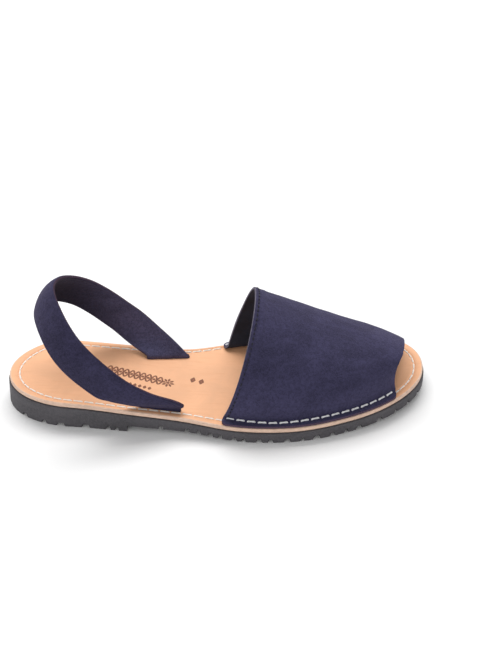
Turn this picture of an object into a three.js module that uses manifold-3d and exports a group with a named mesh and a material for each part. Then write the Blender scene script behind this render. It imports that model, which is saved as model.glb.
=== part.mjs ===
// Avarca sandal, right foot: an open-toe, open-heel leather sandal on a rubber sole.
// Millimetres. +X points to the toe, +Y to the inner side of the foot, +Z up.
// The sole stands on z = 0, and x = 0 is half way along the sole.

import * as THREE from 'three';
import { mergeVertices } from 'three/addons/utils/BufferGeometryUtils.js';
import Module from 'manifold-3d';

const wasm = await Module();
wasm.setup();

// Driving sizes of the sole
const soleLength = 254;
const ballWidth = 90;
const heelHeight = 16.2;
const insoleThickness = 2.7;
const soleRim = 0.8;
const sideTaper = 0.9;
const heelBlockLength = 73.5;
const shankLift = 4.3;
const toeSpring = 4.8;
const seatGap = 0.3;

// How far the rubber's foot flares out at the two ends
const endFlare = { heel: 2.2, toe: 1.2 };

// Driving sizes of the tread
const lugDepth = 2.4;
const lugReach = 9;
const slotWidth = 2;
const barPitch = 9.2;
const barSlope = 0.34;

// Driving sizes of the upper
const vampThickness = 1.5;
const vampHeight = 60;
const flangeInset = 0.3;
const foldInset = 5.2;
const foldRadius = 1.2;

// The flange runs on behind the vamp's rear mouth as a small rounded ear on each side.
const earReach = { outer: 2.2, inner: 2.4 };
const earRun = 10;

// Driving sizes of the sling strap
const strapWidth = 21.6;
const strapThickness = 2.3;
const strapReach = 106;
const strapSpread = 36;
const strapRise = 44.2;
const slitClearance = 0.35;

// Plan of the insole: at is a share of its length from the heel, the others of the ball width.
// centre is the middle of the two sides, with + to the inner side of the foot.
const planRows = [
  { at: 0.00, centre: 0.006, half: 0.336 },
  { at: 0.08, centre: 0.014, half: 0.349 },
  { at: 0.18, centre: -0.009, half: 0.349 },
  { at: 0.30, centre: -0.045, half: 0.359 },
  { at: 0.42, centre: -0.059, half: 0.375 },
  { at: 0.55, centre: -0.047, half: 0.462 },
  { at: 0.68, centre: -0.013, half: 0.498 },
  { at: 0.80, centre: 0.040, half: 0.479 },
  { at: 0.90, centre: 0.090, half: 0.476 },
  { at: 1.00, centre: 0.123, half: 0.463 },
];

// The round ends of the plan: share of the length that each takes, and how full it is.
const heelEnd = { length: 0.15, power: 2.03 };
const toeEnd = { length: 0.264, power: 2.146 };

// Height of the foot bed's underside, as a share of the heel height.
const bedRows = [
  { at: 0.00, height: 1.00 },
  { at: 0.15, height: 0.94 },
  { at: 0.30, height: 0.81 },
  { at: 0.45, height: 0.58 },
  { at: 0.70, height: 0.50 },
  { at: 0.85, height: 0.58 },
  { at: 1.00, height: 0.75 },
];

// Where the underside leaves the floor, as shares of the length from the heel.
const treadTouch = { from: 0.575, to: 0.705 };

// Lugs round each side from heel to toe: their lengths, before they are fitted to the sole's edge, and
// the widths of the slots between them as shares of the slot width.
const lugRun = [9.5, 15, 14, 10.5, 15.2, 13.6, 5.1, 26.3, 15.6, 7, 7, 6, 8, 5.7, 9, 6.7, 9.8, 9, 8.5,
  9.7, 8.8, 8.2, 14, 12.3, 10.5, 10.5, 10.3, 9];
const slotRun = [1, 1.5, 1.3, 2.2, 2, 1.1, 0.9, 1, 1.2, 1, 1.2, 1, 1.2, 0.9, 1.5, 1.1, 1.5, 0.8, 1.8,
  1.2, 0.8, 1.6, 1.6, 1, 1, 1, 1.2];

// Sections of the vamp from its rear mouth to its toe mouth. outer and inner are its two feet, as
// shares of the length from the heel. lean is how far a section tips to the toe as it rises, on each
// side. height is a share of the vamp height, crest and the bellies are shares of the ball width, and
// the full values shape each shoulder: 2 is an ellipse, more is squarer.
const vampRows = [
  { along: 0.00, outer: 0.516, inner: 0.522, leanOuter: 0.32, leanInner: 0.32, height: 1.000,
    crest: 0.041, bellyOuter: 0.050, bellyInner: 0.037, fullOuter: 2.05, fullInner: 2.50 },
  { along: 0.33, outer: 0.650, inner: 0.665, leanOuter: 0.16, leanInner: 0.22, height: 0.772,
    crest: 0.029, bellyOuter: 0.012, bellyInner: 0.029, fullOuter: 2.00, fullInner: 2.50 },
  { along: 0.67, outer: 0.788, inner: 0.818, leanOuter: -0.01, leanInner: 0.13, height: 0.560,
    crest: 0.034, bellyOuter: 0.006, bellyInner: 0.009, fullOuter: 2.45, fullInner: 1.80 },
  { along: 1.00, outer: 0.921, inner: 0.955, leanOuter: -0.26, leanInner: 0.29, height: 0.345,
    crest: -0.049, bellyOuter: 0.000, bellyInner: 0.000, fullOuter: 3.10, fullInner: 1.60 },
];

// The strap from its outer slit round the heel to its inner slit. back, side and up place its lower
// edge as shares of the strap's reach, spread and rise. tilt is the angle in degrees at which it
// stands across its width, turn how far that line points inward, cut how much longer it is than the
// strap is wide, and bow how far its middle stands out, as a share of the strap's width.
const strapRows = [
  { back: 0.434, side: -0.810, up: 0.000, tilt: -3, turn: -3.5, cut: 0.97, bow: 0.00 },
  { back: 0.439, side: -0.824, up: 0.018, tilt: -2.5, turn: -3.5, cut: 1.13, bow: 0.00 },
  { back: 0.450, side: -0.842, up: 0.036, tilt: -1.5, turn: -3.5, cut: 1.26, bow: 0.00 },
  { back: 0.474, side: -0.868, up: 0.058, tilt: -0.9, turn: -3.5, cut: 1.31, bow: 0.00 },
  { back: 0.518, side: -0.912, up: 0.100, tilt: 1.1, turn: -1.6, cut: 1.25, bow: 0.01 },
  { back: 0.600, side: -0.962, up: 0.160, tilt: 11, turn: 0, cut: 1.11, bow: 0.02 },
  { back: 0.683, side: -0.972, up: 0.250, tilt: 31, turn: 0, cut: 1.00, bow: 0.04 },
  { back: 0.848, side: -0.858, up: 0.622, tilt: 44, turn: 0, cut: 1.00, bow: 0.08 },
  { back: 0.954, side: -0.480, up: 0.900, tilt: 50, turn: 0, cut: 1.00, bow: 0.06 },
  { back: 0.998, side: 0.010, up: 0.992, tilt: 55, turn: 0, cut: 1.00, bow: 0.10 },
  { back: 0.966, side: 0.500, up: 0.887, tilt: 52, turn: 0, cut: 1.02, bow: 0.11 },
  { back: 0.838, side: 0.852, up: 0.620, tilt: 50, turn: 0, cut: 1.02, bow: 0.07 },
  { back: 0.656, side: 0.862, up: 0.276, tilt: 39, turn: 2, cut: 1.04, bow: 0.03 },
  { back: 0.540, side: 0.690, up: 0.107, tilt: 18, turn: 6, cut: 1.09, bow: 0.02 },
  { back: 0.430, side: 0.474, up: 0.030, tilt: -4, turn: 9.3, cut: 1.18, bow: 0.00 },
  { back: 0.424, side: 0.463, up: 0.000, tilt: -5, turn: 9.3, cut: 1.19, bow: 0.00 },
];

// Mesh fineness
const soleStations = 44;
const edgeStations = 240;
const runStations = 400;
const outlineStep = 0.0015;
const vampSteps = { flange: 3, fold: 3, arch: 30, along: 18 };
const strapSteps = 75;
const strapStep = 0.004;

// A smooth curve through one column of a table, given the column that runs along it.
function curveThrough(rows, along, column) {
  const at = rows.map((row) => row[along]);
  const value = rows.map((row) => row[column]);
  const last = rows.length - 1;
  const rise = at.slice(1).map((a, i) => (value[i + 1] - value[i]) / (a - at[i]));
  const slope = value.map((_, i) => {
    if (i === 0) return rise[0];
    if (i === last) return rise[last - 1];
    const before = at[i] - at[i - 1];
    const after = at[i + 1] - at[i];
    return (rise[i - 1] * after + rise[i] * before) / (before + after);
  });
  return (x) => {
    let i = 0;
    while (i < last - 1 && x > at[i + 1]) i += 1;
    const span = at[i + 1] - at[i];
    const s = THREE.MathUtils.clamp((x - at[i]) / span, 0, 1);
    const blend = s * s * (3 - 2 * s);
    const ease = s * (1 - s) * span;
    return value[i] + (value[i + 1] - value[i]) * blend
      + ease * ((1 - s) * slope[i] - s * slope[i + 1]);
  };
}

// Places along the sole
const alongSole = (share) => (share - 0.5) * soleLength;
const heelBreast = alongSole(0) + heelBlockLength;
const treadFrom = alongSole(treadTouch.from);
const treadTo = alongSole(treadTouch.to);

const planCentre = curveThrough(planRows, 'at', 'centre');
const planHalf = curveThrough(planRows, 'at', 'half');
const bedHeight = curveThrough(bedRows, 'at', 'height');

function endFullness(share) {
  if (share < heelEnd.length) {
    const into = 1 - share / heelEnd.length;
    return Math.max(0, 1 - into ** heelEnd.power) ** (1 / heelEnd.power);
  }
  if (share > 1 - toeEnd.length) {
    const into = 1 - (1 - share) / toeEnd.length;
    return Math.max(0, 1 - into ** toeEnd.power) ** (1 / toeEnd.power);
  }
  return 1;
}

// A point of the insole's outline. side is -1 on the outer side of the foot and +1 on the inner side.
function planPoint(share, side) {
  const half = planHalf(share) * endFullness(share);
  return new THREE.Vector2(alongSole(share), ballWidth * (planCentre(share) + side * half));
}

// The outward direction of the outline there.
function planNormal(share, side) {
  const from = planPoint(Math.max(0, share - outlineStep), side);
  const to = planPoint(Math.min(1, share + outlineStep), side);
  const along = to.sub(from).normalize();
  return new THREE.Vector2(-along.y * side, along.x * side);
}

// Shares of the length that crowd at the round ends.
function stationShares(count) {
  const blunt = 0.0004;
  return Array.from({ length: count + 1 }, (_, i) => {
    const eased = (1 - Math.cos((Math.PI * i) / count)) / 2;
    return THREE.MathUtils.lerp(blunt, 1 - blunt, eased);
  });
}

// The outline moved outward by a distance, as a function from x to y on one side.
function movedEdge(side, outward) {
  const points = stationShares(edgeStations).map((share) => (
    planPoint(share, side).addScaledVector(planNormal(share, side), outward)));
  return (x) => {
    const i = points.findIndex((point) => point.x >= x);
    if (i <= 0) return (i === 0 ? points[0] : points[points.length - 1]).y;
    const from = points[i - 1];
    const to = points[i];
    return THREE.MathUtils.mapLinear(x, from.x, to.x, from.y, to.y);
  };
}

// Heights along the sole
const bedUnder = (x) => heelHeight * bedHeight(THREE.MathUtils.clamp(x / soleLength + 0.5, 0, 1));
const bedTop = (x) => bedUnder(x) + insoleThickness;

function treadHeight(x) {
  if (x < heelBreast) return 0;
  if (x < treadFrom) return (shankLift * (treadFrom - x)) / (treadFrom - heelBreast);
  if (x < treadTo) return 0;
  return toeSpring * ((x - treadTo) / (soleLength / 2 - treadTo)) ** 1.8;
}

// A closed geometry from corner points and the faces that join them.
function closedGeometry(points, faces) {
  const geometry = new THREE.BufferGeometry();
  const places = points.flatMap((point) => point.toArray());
  geometry.setAttribute('position', new THREE.Float32BufferAttribute(places, 3));
  geometry.setIndex(faces.flat());
  return geometry;
}

// A slab with the insole's outline moved outward, between two functions of x. How far its top and its
// underside are moved are functions of the outline's normal.
function slabGeometry(outwardTop, outwardUnder, top, under) {
  const corners = [];
  const faces = [];
  const shares = stationShares(soleStations);
  for (const share of shares) {
    for (const [outward, height] of [[outwardTop, top], [outwardUnder, under]]) {
      for (const side of [-1, 1]) {
        const normal = planNormal(share, side);
        const point = planPoint(share, side).addScaledVector(normal, outward(normal));
        corners.push(new THREE.Vector3(point.x, point.y, height(point.x)));
      }
    }
  }
  const quad = (a, b, c, d) => faces.push([a, b, c], [a, c, d]);
  for (let i = 0; i + 1 < shares.length; i += 1) {
    const [topOuter, topInner, underOuter, underInner] = [0, 1, 2, 3].map((k) => i * 4 + k);
    quad(topOuter, topOuter + 4, topInner + 4, topInner);
    quad(underOuter, underInner, underInner + 4, underOuter + 4);
    quad(underOuter, underOuter + 4, topOuter + 4, topOuter);
    quad(topInner, topInner + 4, underInner + 4, underInner);
  }
  const end = (shares.length - 1) * 4;
  quad(0, 1, 3, 2);
  quad(end, end + 2, end + 3, end + 1);
  return closedGeometry(corners, faces);
}

// A closed sheet between two grids of points, rows running along it.
function sheetGeometry(outer, inner) {
  const rows = outer.length;
  const columns = outer[0].length;
  const faces = [];
  const outside = (i, j) => i * columns + j;
  const inside = (i, j) => (rows + i) * columns + j;
  const quad = (a, b, c, d) => faces.push([a, b, c], [a, c, d]);
  for (let i = 0; i + 1 < rows; i += 1) {
    for (let j = 0; j + 1 < columns; j += 1) {
      quad(outside(i, j), outside(i + 1, j), outside(i + 1, j + 1), outside(i, j + 1));
      quad(inside(i, j), inside(i, j + 1), inside(i + 1, j + 1), inside(i + 1, j));
    }
    quad(outside(i, 0), inside(i, 0), inside(i + 1, 0), outside(i + 1, 0));
    const j = columns - 1;
    quad(outside(i + 1, j), inside(i + 1, j), inside(i, j), outside(i, j));
  }
  for (let j = 0; j + 1 < columns; j += 1) {
    const i = rows - 1;
    quad(outside(0, j), outside(0, j + 1), inside(0, j + 1), inside(0, j));
    quad(outside(i, j + 1), outside(i, j), inside(i, j), inside(i, j + 1));
  }
  return closedGeometry([...outer.flat(), ...inner.flat()], faces);
}

// The points of a grid moved along the surface's own normals.
function movedGrid(grid, distance) {
  const rows = grid.length;
  const columns = grid[0].length;
  return grid.map((row, i) => row.map((point, j) => {
    const along = grid[Math.min(rows - 1, i + 1)][j].clone().sub(grid[Math.max(0, i - 1)][j]);
    const across = grid[i][Math.min(columns - 1, j + 1)].clone().sub(grid[i][Math.max(0, j - 1)]);
    return point.clone().addScaledVector(along.cross(across).normalize(), distance);
  }));
}

function toSolid(geometry) {
  const bare = geometry.clone();
  bare.deleteAttribute('normal');
  bare.deleteAttribute('uv');
  const merged = mergeVertices(bare, 1e-4);
  return new wasm.Manifold(new wasm.Mesh({
    numProp: 3,
    vertProperties: new Float32Array(merged.attributes.position.array),
    triVerts: new Uint32Array(merged.index.array),
  }));
}

function toGeometry(solid) {
  const mesh = solid.getMesh();
  const geometry = new THREE.BufferGeometry();
  const places = new Float32Array(mesh.vertProperties);
  geometry.setAttribute('position', new THREE.BufferAttribute(places, 3));
  geometry.setIndex(new THREE.BufferAttribute(new Uint32Array(mesh.triVerts), 1));
  return geometry;
}

const joined = (solids) => wasm.Manifold.union(solids);

// An upright box cutter on the floor, turned about its middle, that reaches up to a height.
function cutterBox(length, width, top, x, y, turn) {
  const below = 2;
  const box = new THREE.BoxGeometry(length, width, top + below);
  box.rotateZ(turn);
  box.translate(x, y, (top - below) / 2);
  return toSolid(box);
}

// What lies under the sole: the arch between heel and ball, and the toe's spring.
function undersideCutter() {
  const below = 3;
  const steps = 10;
  const reach = soleLength / 2 + soleRim + below;
  const outline = new THREE.Shape();
  outline.moveTo(-reach, -below);
  outline.lineTo(-reach, 0);
  outline.lineTo(heelBreast, 0);
  outline.lineTo(heelBreast, shankLift);
  outline.lineTo(treadFrom, 0);
  for (let i = 0; i <= steps; i += 1) {
    const x = THREE.MathUtils.lerp(treadTo, reach, i / steps);
    outline.lineTo(x, treadHeight(x));
  }
  outline.lineTo(reach, -below);
  const prism = new THREE.ExtrudeGeometry(outline, { depth: ballWidth * 2, bevelEnabled: false });
  prism.rotateX(Math.PI / 2);
  prism.translate(0, ballWidth, 0);
  return toSolid(prism);
}

// Shares of the length at which one side's edge has run certain parts of its way round.
function sharesRoundEdge(side, parts) {
  const shares = stationShares(runStations);
  const points = shares.map((share) => planPoint(share, side));
  const runs = points.map(() => 0);
  for (let i = 1; i < points.length; i += 1) runs[i] = runs[i - 1] + points[i].distanceTo(points[i - 1]);
  const whole = runs[runs.length - 1];
  return parts.map((part) => shares[runs.findIndex((run) => run >= part * whole)]);
}

// Slots between the lugs round the rim.
function lugSlots() {
  const runTo = (count) => lugRun.slice(0, count).reduce((sum, length) => sum + length, 0);
  const parts = lugRun.slice(1).map((_, i) => runTo(i + 1) / runTo(lugRun.length));
  const slots = [];
  for (const side of [-1, 1]) {
    sharesRoundEdge(side, parts).forEach((share, i) => {
      const edge = planPoint(share, side);
      const normal = planNormal(share, side);
      const middle = edge.clone().addScaledVector(normal, soleRim + 1 - lugReach / 2);
      const top = treadHeight(edge.x) + lugDepth;
      const turn = Math.atan2(normal.y, normal.x);
      const width = slotWidth * slotRun[i % slotRun.length];
      slots.push(cutterBox(lugReach + 2, width, top, middle.x, middle.y, turn));
    });
  }
  return slots;
}

// Grooves of the tread inside the ring of lugs: a row of open chevrons.
function treadGrooves() {
  const margin = lugReach + slotWidth;
  const outerEdge = movedEdge(-1, -margin);
  const innerEdge = movedEdge(1, -margin);
  const grooves = [];
  const first = alongSole(0) + margin + barPitch;
  const last = alongSole(1) - margin - barPitch;
  for (let x = first; x < last; x += barPitch) {
    if (Math.abs(x - heelBreast) < barPitch) continue;
    for (const [edge, side] of [[outerEdge(x), -1], [innerEdge(x), 1]]) {
      const centre = (outerEdge(x) + innerEdge(x)) / 2;
      const length = Math.abs(edge - centre);
      const turn = side * (Math.PI / 2 - barSlope);
      const back = (length / 2) * Math.tan(barSlope);
      const top = treadHeight(x + back) + lugDepth;
      const run = length / Math.cos(barSlope);
      grooves.push(cutterBox(run, slotWidth, top, x + back, (edge + centre) / 2, turn));
    }
  }
  return grooves;
}

function outsoleGeometry() {
  const below = 1;
  const rim = () => soleRim;
  const foot = (normal) => {
    const flare = normal.x < 0 ? endFlare.heel : endFlare.toe;
    return soleRim - sideTaper + flare * normal.x ** 2;
  };
  const body = toSolid(slabGeometry(rim, foot, (x) => bedUnder(x) - seatGap, () => -below));
  return toGeometry(body.subtract(joined([undersideCutter(), ...lugSlots(), ...treadGrooves()])));
}

// The strap's lower edge, its line across and how far it runs across, by place along the strap.
const strapPlaces = strapRows.map((row, i) => ({ ...row, place: i / (strapRows.length - 1) }));
const strapCurve = Object.fromEntries(Object.keys(strapRows[0]).map((column) => (
  [column, curveThrough(strapPlaces, 'place', column)])));

function strapEdge(place) {
  const x = -strapReach * strapCurve.back(place);
  const tilt = THREE.MathUtils.degToRad(strapCurve.tilt(place));
  const turn = THREE.MathUtils.degToRad(strapCurve.turn(place));
  const lower = new THREE.Vector3(
    x,
    strapSpread * strapCurve.side(place),
    bedTop(x) + strapRise * strapCurve.up(place),
  );
  const level = new THREE.Vector3(Math.cos(turn), Math.sin(turn), 0);
  const across = level.clone().multiplyScalar(Math.cos(tilt)).setZ(Math.sin(tilt));
  return { lower, level, turn, across, length: strapWidth * strapCurve.cut(place) };
}

// Points across the strap, from its lower edge to its upper one.
const acrossShares = [0, 0.25, 0.5, 0.75, 1];

function strapRow(place) {
  const { lower, across, length } = strapEdge(place);
  const before = strapEdge(Math.max(0, place - strapStep)).lower;
  const along = strapEdge(Math.min(1, place + strapStep)).lower.sub(before);
  const outward = across.clone().cross(along).normalize();
  const bow = strapWidth * strapCurve.bow(place);
  return acrossShares.map((share) => lower.clone()
    .addScaledVector(across, length * share)
    .addScaledVector(outward, bow * 4 * share * (1 - share)));
}

// The strap's ends stand straight down in their slits: a level row between two heights.
function strapEnd(place, height) {
  const { lower, level, length } = strapEdge(place);
  return acrossShares.map((share) => {
    const point = lower.clone().addScaledVector(level, length * share);
    return point.setZ(height(point.x));
  });
}

function strapGeometry() {
  const grid = [strapEnd(0, bedUnder), strapEnd(0, bedTop)];
  for (let i = 1; i < strapSteps; i += 1) grid.push(strapRow(i / strapSteps));
  grid.push(strapEnd(1, bedTop), strapEnd(1, bedUnder));
  return sheetGeometry(movedGrid(grid, strapThickness / 2), movedGrid(grid, -strapThickness / 2));
}

// A slit through the insole with round ends, where one end of the strap goes down.
function slitCutter(place) {
  const { lower, turn, length } = strapEdge(place);
  const radius = strapThickness / 2 + slitClearance;
  const straight = length + slitClearance;
  const outline = new THREE.Shape();
  outline.moveTo(-slitClearance, -radius);
  outline.lineTo(straight, -radius);
  outline.absarc(straight, 0, radius, -Math.PI / 2, Math.PI / 2, false);
  outline.lineTo(-slitClearance, radius);
  outline.absarc(-slitClearance, 0, radius, Math.PI / 2, Math.PI * 1.5, false);
  const height = heelHeight + insoleThickness * 2;
  const extrusion = { depth: height, bevelEnabled: false, curveSegments: 5 };
  const prism = new THREE.ExtrudeGeometry(outline, extrusion);
  prism.rotateZ(turn);
  prism.translate(lower.x, lower.y, 0);
  return toSolid(prism);
}

function insoleGeometry() {
  const flush = () => 0;
  const board = toSolid(slabGeometry(flush, flush, bedTop, bedUnder));
  return toGeometry(board.subtract(joined([slitCutter(0), slitCutter(1)])));
}

const vampCurve = Object.fromEntries(Object.keys(vampRows[0]).map((column) => (
  [column, curveThrough(vampRows, 'along', column)])));

const rimEdges = [movedEdge(-1, -flangeInset), movedEdge(1, -flangeInset)];
const foldEdges = [movedEdge(-1, -foldInset), movedEdge(1, -foldInset)];
const flangeTop = (x) => bedTop(x) + seatGap + vampThickness;

// The flange and its fold at one foot of a section, from the sole's rim to the foot of the arch.
// ear is how far back the rim is drawn there.
function vampFlange(side, foot, ear) {
  const outward = side === 0 ? -1 : 1;
  const count = vampSteps.flange + vampSteps.fold;
  return Array.from({ length: count }, (_, i) => {
    const x = foot - ear * Math.sqrt(1 - (i / count) ** 2);
    const corner = foldEdges[side](x) + outward * foldRadius;
    if (i < vampSteps.flange) {
      const y = THREE.MathUtils.lerp(rimEdges[side](x), corner, i / vampSteps.flange);
      return new THREE.Vector3(x, y, flangeTop(x));
    }
    const turn = (Math.PI / 2) * ((i - vampSteps.flange) / vampSteps.fold);
    const y = corner - outward * foldRadius * Math.sin(turn);
    return new THREE.Vector3(x, y, flangeTop(x) + foldRadius * (1 - Math.cos(turn)));
  });
}

// One section of the vamp's outer face, from its outer flange over the foot to its inner flange.
function vampSection(along) {
  const row = Object.fromEntries(Object.entries(vampCurve).map(([column, curve]) => (
    [column, curve(along)])));
  const feet = [alongSole(row.outer), alongSole(row.inner)];
  const fold = [foldEdges[0](feet[0]), foldEdges[1](feet[1])];
  const fromRear = feet[0] - alongSole(vampRows[0].outer);
  const fade = Math.max(0, 1 - fromRear / earRun) ** 2;
  const crest = ballWidth * row.crest;
  const arch = [];
  for (let i = 0; i <= vampSteps.arch; i += 1) {
    const share = i / vampSteps.arch;
    const turn = Math.PI * share;
    const outerSide = share < 0.5;
    const full = outerSide ? row.fullOuter : row.fullInner;
    const out = Math.abs(Math.cos(turn)) ** (2 / full);
    const up = Math.max(0, Math.sin(turn)) ** (2 / full);
    const belly = Math.sin(Math.PI * up ** 0.8) * ballWidth;
    const y = outerSide
      ? crest + (fold[0] - crest) * out - belly * row.bellyOuter
      : crest + (fold[1] - crest) * out + belly * row.bellyInner;
    const x = THREE.MathUtils.lerp(feet[0], feet[1], share);
    const lean = THREE.MathUtils.lerp(row.leanOuter, row.leanInner, share);
    const rise = (vampHeight * row.height - foldRadius - vampThickness) * up;
    arch.push(new THREE.Vector3(x + lean * rise, y, flangeTop(x) + foldRadius + rise));
  }
  const outerFlange = vampFlange(0, feet[0], earReach.outer * fade);
  const innerFlange = vampFlange(1, feet[1], earReach.inner * fade);
  return [...outerFlange, ...arch, ...innerFlange.reverse()];
}

function vampGeometry() {
  const outer = [];
  for (let i = 0; i <= vampSteps.along; i += 1) outer.push(vampSection(i / vampSteps.along));
  return sheetGeometry(outer, movedGrid(outer, -vampThickness));
}

function piece(name, geometry, colour, roughness) {
  const material = new THREE.MeshStandardMaterial({ color: colour, roughness, metalness: 0 });
  const mesh = new THREE.Mesh(geometry, material);
  mesh.name = name;
  return mesh;
}

const rubber = 0x38383c;
const tanLeather = 0xe0a880;
const navySuede = 0x2b2940;

const shoe = new THREE.Group();
shoe.add(
  piece('outsole', outsoleGeometry(), rubber, 0.8),
  piece('insole', insoleGeometry(), tanLeather, 0.55),
  piece('vamp', vampGeometry(), navySuede, 0.95),
  piece('sling_strap', strapGeometry(), navySuede, 0.95),
);

// The origin goes below the middle of the sole's own box.
const soleBox = new THREE.Box3().setFromObject(shoe.children[0]);
const middle = soleBox.getCenter(new THREE.Vector3());
shoe.position.set(-middle.x, -middle.y, -soleBox.min.z);

const sandal = new THREE.Group();
sandal.add(shoe);

export default sandal;
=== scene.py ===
"""Avarca sandal: leather, suede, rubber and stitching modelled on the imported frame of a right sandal.

Shapes are worked out in millimetres in the last's own frame, +X to the toe, +Y to the inner side of
the foot, +Z up from the floor, and then moved to the frame's place and metres.
"""

import math
from bisect import bisect_right

import bpy
from mathutils import Matrix, Vector, noise


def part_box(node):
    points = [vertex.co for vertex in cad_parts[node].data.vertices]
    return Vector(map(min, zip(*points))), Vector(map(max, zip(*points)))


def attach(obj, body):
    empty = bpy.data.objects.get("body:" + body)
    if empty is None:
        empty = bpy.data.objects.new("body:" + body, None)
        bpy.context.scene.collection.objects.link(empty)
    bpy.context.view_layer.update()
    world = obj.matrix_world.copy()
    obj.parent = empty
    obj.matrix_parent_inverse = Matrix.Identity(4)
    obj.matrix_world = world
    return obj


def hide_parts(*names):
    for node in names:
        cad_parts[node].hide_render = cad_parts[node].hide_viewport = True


bl_info = {
    "name": "Avarca Sandal",
    "version": (1, 0, 0),
    "blender": (4, 5, 0),
    "location": "3D View > Sidebar > Sandal",
    "description": "Models the leather, suede, rubber and stitching of an avarca sandal",
    "category": "Object",
}

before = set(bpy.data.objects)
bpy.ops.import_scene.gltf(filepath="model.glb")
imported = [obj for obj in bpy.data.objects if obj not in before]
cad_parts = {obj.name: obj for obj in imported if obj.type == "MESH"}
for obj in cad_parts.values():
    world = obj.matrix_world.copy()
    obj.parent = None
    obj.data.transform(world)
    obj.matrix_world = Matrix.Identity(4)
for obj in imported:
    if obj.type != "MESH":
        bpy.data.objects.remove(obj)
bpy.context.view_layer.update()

MM = 0.001

# Sizes of the sole, in millimetres
BALL_WIDTH = 90.0
HEEL_HEIGHT = 16.2
INSOLE_THICKNESS = 2.7
SOLE_RIM = 0.8
SIDE_TAPER = 0.9
HEEL_BLOCK_LENGTH = 73.5
SHANK_LIFT = 4.3
TOE_SPRING = 4.8
HEEL_FLARE, TOE_FLARE = 2.2, 1.2
LUG_DEPTH = 2.4
LUG_REACH = 9.0
SLOT_WIDTH = 2.0
BAR_PITCH = 9.2
BAR_SLOPE = 0.34

# Sizes of the vamp. Its ears reach back at the outer and the inner foot, and fade out over a run
SEAT_GAP = 0.3
VAMP_THICKNESS = 1.5
VAMP_HEIGHT = 60.0
FLANGE_INSET = 0.3
FOLD_INSET = 5.2
FOLD_RADIUS = 1.2
EAR_REACH = (1.3, 2.6)
EAR_RUN = 10.0
FLANGE_CORNER = 2.0

# Sizes of the sling strap
STRAP_WIDTH = 21.6
STRAP_THICKNESS = 2.3
STRAP_REACH = 106.0
STRAP_SPREAD = 36.0
STRAP_RISE = 44.2
SLIT_CLEARANCE = 0.12

# Round ends of the sole: share of the length that each takes, and how full it is
HEEL_END = (0.15, 2.03)
TOE_END = (0.264, 2.146)
BLUNT_SHARE = 0.0004
OUTER, INNER = -1, 1


def table(columns, *rows):
    """Rows of numbers as one list for each named column."""
    return dict(zip(columns.split(), map(list, zip(*rows))))


# Middle and half width of the insole, as shares of the ball's width, at shares of its length
PLAN = table(
    "at centre half",
    (0.00, 0.006, 0.336),
    (0.08, 0.014, 0.349),
    (0.18, -0.009, 0.349),
    (0.30, -0.045, 0.359),
    (0.42, -0.059, 0.375),
    (0.55, -0.047, 0.462),
    (0.68, -0.013, 0.498),
    (0.80, 0.040, 0.479),
    (0.90, 0.090, 0.476),
    (1.00, 0.123, 0.463),
)

# Height under the insole, as a share of the heel's
BED = table(
    "at height",
    (0.00, 1.00),
    (0.15, 0.94),
    (0.30, 0.81),
    (0.45, 0.58),
    (0.70, 0.50),
    (0.85, 0.58),
    (1.00, 0.75),
)

# Shares of the length between which the forefoot touches the floor
TREAD_TOUCH = (0.575, 0.705)

# Lugs along each side from the heel, in proportion, and the slots between them in slot widths
LUG_RUN = (9.5, 15, 14, 10.5, 15.2, 13.6, 5.1, 26.3, 15.6, 7, 7, 6, 8, 5.7, 9, 6.7, 9.8, 9, 8.5,
           9.7, 8.8, 8.2, 14, 12.3, 10.5, 10.5, 10.3, 9)
SLOT_RUN = (1, 1.5, 1.3, 2.2, 2, 1.1, 0.9, 1, 1.2, 1, 1.2, 1, 1.2, 0.9, 1.5, 1.1, 1.5, 0.8, 1.8,
            1.2, 0.8, 1.6, 1.6, 1, 1, 1, 1.2)

# Sections of the vamp from its rear to its toe edge. Its feet are shares of the sole's length, the height
# is a share of the vamp's, the crest and the bellies are shares of the ball's width
VAMP = table(
    "along outer inner lean_outer lean_inner height crest belly_outer belly_inner full_outer full_inner",
    (0.00, 0.516, 0.522, 0.32, 0.32, 1.000, 0.041, 0.050, 0.037, 2.05, 2.50),
    (0.33, 0.650, 0.665, 0.16, 0.22, 0.772, 0.029, 0.012, 0.029, 2.00, 2.50),
    (0.67, 0.788, 0.818, -0.01, 0.13, 0.560, 0.034, 0.006, 0.009, 2.45, 1.80),
    (1.00, 0.921, 0.955, -0.26, 0.29, 0.345, -0.049, 0.000, 0.000, 3.10, 1.60),
)

# The strap's lower edge, as shares of its reach, spread and rise, with its tilt and turn in degrees and
# its cut across and bow as shares of its width
STRAP = table(
    "back side up tilt turn cut bow",
    (0.432, -0.842, 0.000, -1, -3.5, 1.13, 0.00),
    (0.438, -0.854, 0.010, 0, -3.5, 1.22, 0.00),
    (0.449, -0.869, 0.024, 1.2, -3.5, 1.30, 0.00),
    (0.474, -0.893, 0.046, 2.9, -3.3, 1.36, 0.00),
    (0.518, -0.930, 0.090, 3.9, -1.8, 1.40, 0.01),
    (0.600, -0.967, 0.157, 11.6, 0, 1.15, 0.02),
    (0.683, -0.972, 0.250, 31, 0, 1.00, 0.04),
    (0.848, -0.858, 0.622, 44, 0, 1.00, 0.08),
    (0.954, -0.480, 0.900, 50, 0, 1.00, 0.06),
    (0.998, 0.010, 0.992, 55, 0, 1.00, 0.10),
    (0.966, 0.500, 0.887, 52, 0, 1.02, 0.11),
    (0.838, 0.852, 0.620, 50, 0, 1.02, 0.07),
    (0.656, 0.862, 0.276, 39, 2, 1.04, 0.03),
    (0.540, 0.690, 0.107, 18, 6, 1.09, 0.02),
    (0.430, 0.474, 0.030, -4, 9.3, 1.18, 0.00),
    (0.424, 0.463, 0.000, -5, 9.3, 1.24, 0.00),
)
STRAP["place"] = [i / (len(STRAP["back"]) - 1) for i in range(len(STRAP["back"]))]

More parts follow.
